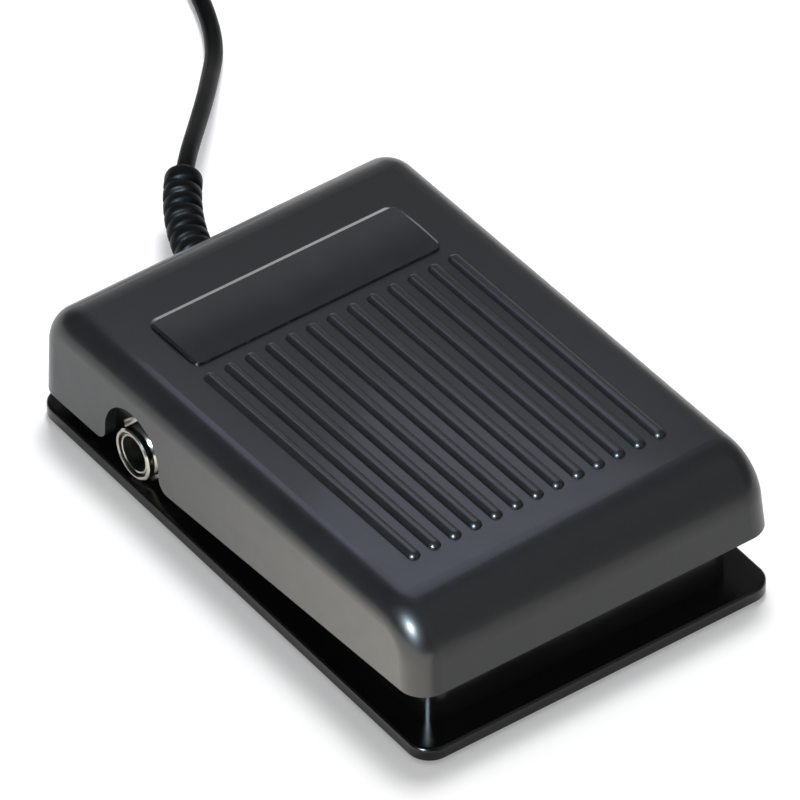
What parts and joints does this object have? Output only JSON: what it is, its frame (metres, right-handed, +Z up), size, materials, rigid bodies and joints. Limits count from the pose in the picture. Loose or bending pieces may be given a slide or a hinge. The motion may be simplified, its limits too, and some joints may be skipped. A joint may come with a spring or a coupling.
{
  "type": "foot pedal switch",
  "caption": "Ribbed treadle hinged on a flat tray, sprung up over a lever switch, with a phone jack in its side and a cord with a phone plug.",
  "frame": {"origin": "middle of the footprint, on the surface that the rubber feet stand on", "axes": "+Z up, +Y towards the hinge and the cord, -Y towards the end that the foot presses, +X to the right"},
  "size_m": [0.106, 0.2701, 0.0299],
  "materials": {
    "treadle_satin": "satin moulded black",
    "base_gloss": "glossy moulded black",
    "badge_gloss": "glossy black",
    "nickel": "nickel plated",
    "steel": "zinc plated",
    "spring_steel": "drawn wire",
    "rubber": "matt black",
    "cord_rubber": "soft black",
    "case_plastic": "moulded black",
    "plunger_plastic": "moulded white",
    "tinned_brass": "tinned",
    "wire_insulation": "smooth"
  },
  "bodies": {
    "base": {"base_tray": "base_gloss", "jack_bushing": "nickel", "jack_nut": "nickel", "jack_washer": "nickel", "plug_sleeve": "nickel", "plug_tip": "nickel", "hinge_pin_left": "steel", "hinge_pin_right": "steel", "hinge_clip_left": "steel", "hinge_clip_right": "steel", "clamp_screws": "steel", "switch_screws": "steel", "return_spring_left": "spring_steel", "return_spring_right": "spring_steel", "stop_bumper_left": "rubber", "stop_bumper_right": "rubber", "foot_front_left": "rubber", "foot_front_right": "rubber", "foot_rear_left": "rubber", "foot_rear_right": "rubber", "strain_relief": "cord_rubber", "cord_lead": "cord_rubber", "cord_coil": "cord_rubber", "cord_tail": "cord_rubber", "cord_tail_inside": "cord_rubber", "plug_handle": "cord_rubber", "switch_case": "case_plastic", "jack_body": "case_plastic", "cord_clamp": "case_plastic", "plug_insulator": "plunger_plastic", "switch_terminals": "tinned_brass", "jack_lugs": "tinned_brass", "signal_wires": "wire_insulation"},
    "treadle": {"treadle_cover": "treadle_satin", "badge_plate": "badge_gloss"},
    "switch_lever": {"switch_lever": "steel"},
    "switch_plunger": {"switch_plunger": "plunger_plastic"}
  },
  "joints": [
    {"name": "treadle_press", "type": "hinge", "parent": "base", "child": "treadle", "pos_m": [0, 0.044, 0.0105], "axis": [1, 0, 0], "range_deg": [0, 4.6], "stiffness_Nm_per_rad": 3, "springref_deg": -5.73, "deforming": ["return_spring_left", "return_spring_right"]},
    {"name": "lever_swing", "type": "hinge", "parent": "base", "child": "switch_lever", "pos_m": [0, -0.006, 0.01495], "axis": [1, 0, 0], "range_deg": [-10.87, 0]},
    {"name": "plunger_slide", "type": "slide", "parent": "base", "child": "switch_plunger", "axis": [0, 0, -1], "range_m": [0, 0.000591]}
  ],
  "couplings": [
    {"joint": "lever_swing", "follows": "treadle_press", "ratio": -2.363},
    {"joint": "plunger_slide", "follows": "treadle_press", "m_per_rad": 0.0073613}
  ]
}
